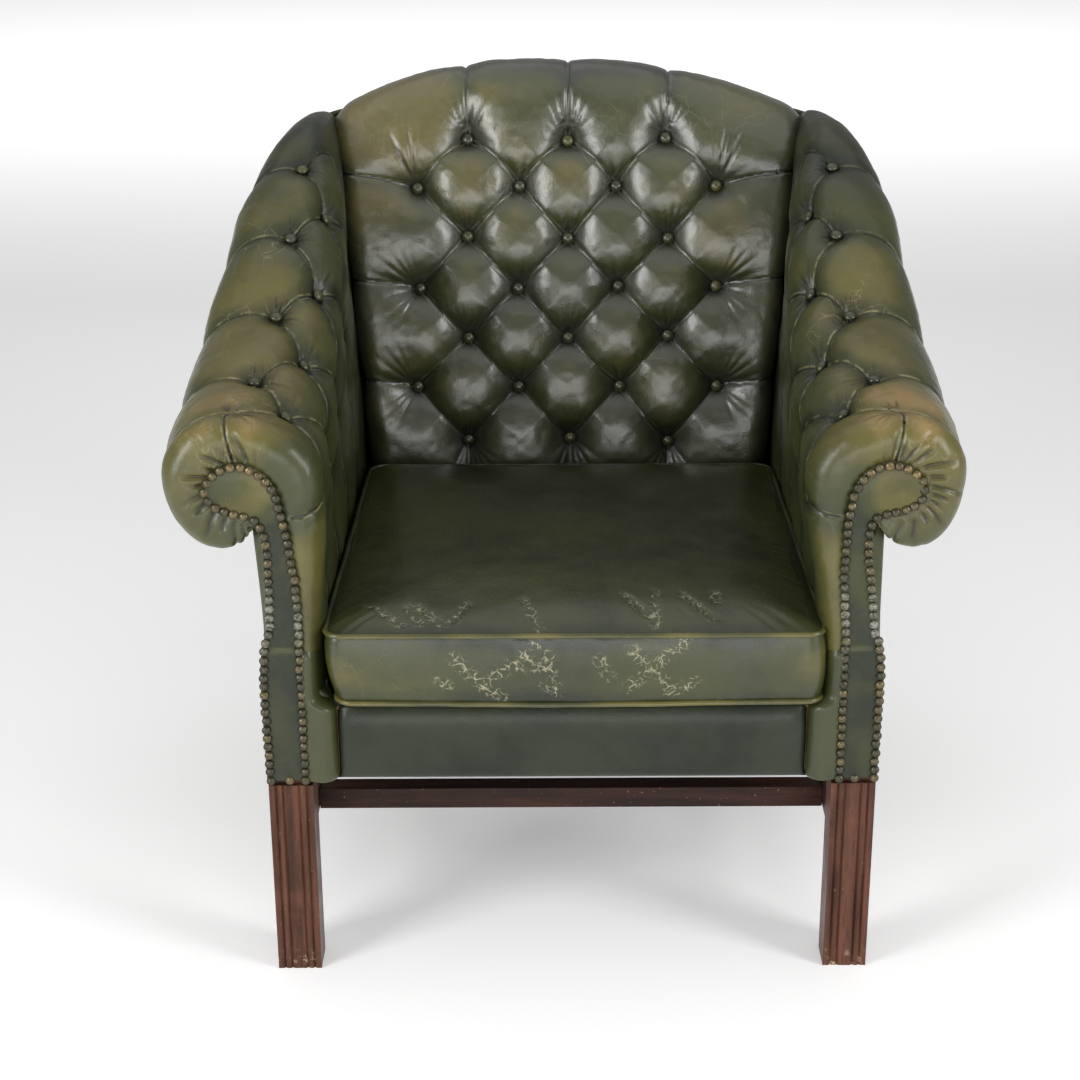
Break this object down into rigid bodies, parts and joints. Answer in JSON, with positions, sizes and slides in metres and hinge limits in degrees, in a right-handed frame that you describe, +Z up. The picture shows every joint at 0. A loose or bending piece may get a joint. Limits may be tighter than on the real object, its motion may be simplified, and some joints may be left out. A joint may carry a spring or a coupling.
{
  "type": "club chair",
  "caption": "Low leather club chair with button-tufted back and scroll arms, a loose seat cushion, nailed arm fronts, and square wooden legs joined by a stretcher.",
  "frame": {"origin": "on the floor, at the middle of the chair's box seen from above", "axes": "+Z up, -Y towards the front of the seat, +X towards the right side of a viewer who faces the chair"},
  "size_m": [0.85, 0.786, 0.942],
  "materials": {
    "tufted_leather": "aged bottle-green hide, satin to glossy, olive and tan where rubbed",
    "seat_leather": "aged dark green hide, worn and cracked at the front",
    "panel_leather": "aged green hide pulled flat over board",
    "mahogany": "dark red-brown polished wood with chipped feet",
    "frame_beech": "plain sawn wood, hidden",
    "jute": "coarse woven",
    "spring_steel": "plain drawn wire",
    "lining_cloth": "thin dark lining",
    "nail_brass": "antiqued domed heads, some tarnished"
  },
  "bodies": {
    "root": {"front_leg_right": "mahogany", "front_leg_left": "mahogany", "back_leg_right": "mahogany", "back_leg_left": "mahogany", "side_stretcher_right": "mahogany", "side_stretcher_left": "mahogany", "cross_stretcher": "mahogany", "front_seat_rail": "frame_beech", "back_seat_rail": "frame_beech", "side_seat_rail_right": "frame_beech", "side_seat_rail_left": "frame_beech", "front_corner_block_right": "frame_beech", "front_corner_block_left": "frame_beech", "back_corner_block_right": "frame_beech", "back_corner_block_left": "frame_beech", "arm_post_right": "frame_beech", "arm_post_left": "frame_beech", "arm_rail_right": "frame_beech", "arm_rail_left": "frame_beech", "crest_rail": "frame_beech", "lower_back_rail": "frame_beech", "long_web_strap_1": "jute", "long_web_strap_2": "jute", "long_web_strap_3": "jute", "cross_web_strap_1": "jute", "cross_web_strap_2": "jute", "cross_web_strap_3": "jute", "spring_cover": "jute", "seat_spring_1": "spring_steel", "seat_spring_2": "spring_steel", "seat_spring_3": "spring_steel", "seat_spring_4": "spring_steel", "seat_spring_5": "spring_steel", "seat_spring_6": "spring_steel", "seat_spring_7": "spring_steel", "seat_spring_8": "spring_steel", "seat_spring_9": "spring_steel", "seat_deck_pad": "lining_cloth", "underside_lining": "lining_cloth", "arm_pad_right": "tufted_leather", "arm_pad_left": "tufted_leather", "back_pad": "tufted_leather", "seat_cushion": "seat_leather", "arm_front_facing_right": "panel_leather", "arm_front_facing_left": "panel_leather", "outside_arm_panel_right": "panel_leather", "outside_arm_panel_left": "panel_leather", "outside_back_panel": "panel_leather", "front_border_panel": "panel_leather"}
  },
  "joints": []
}
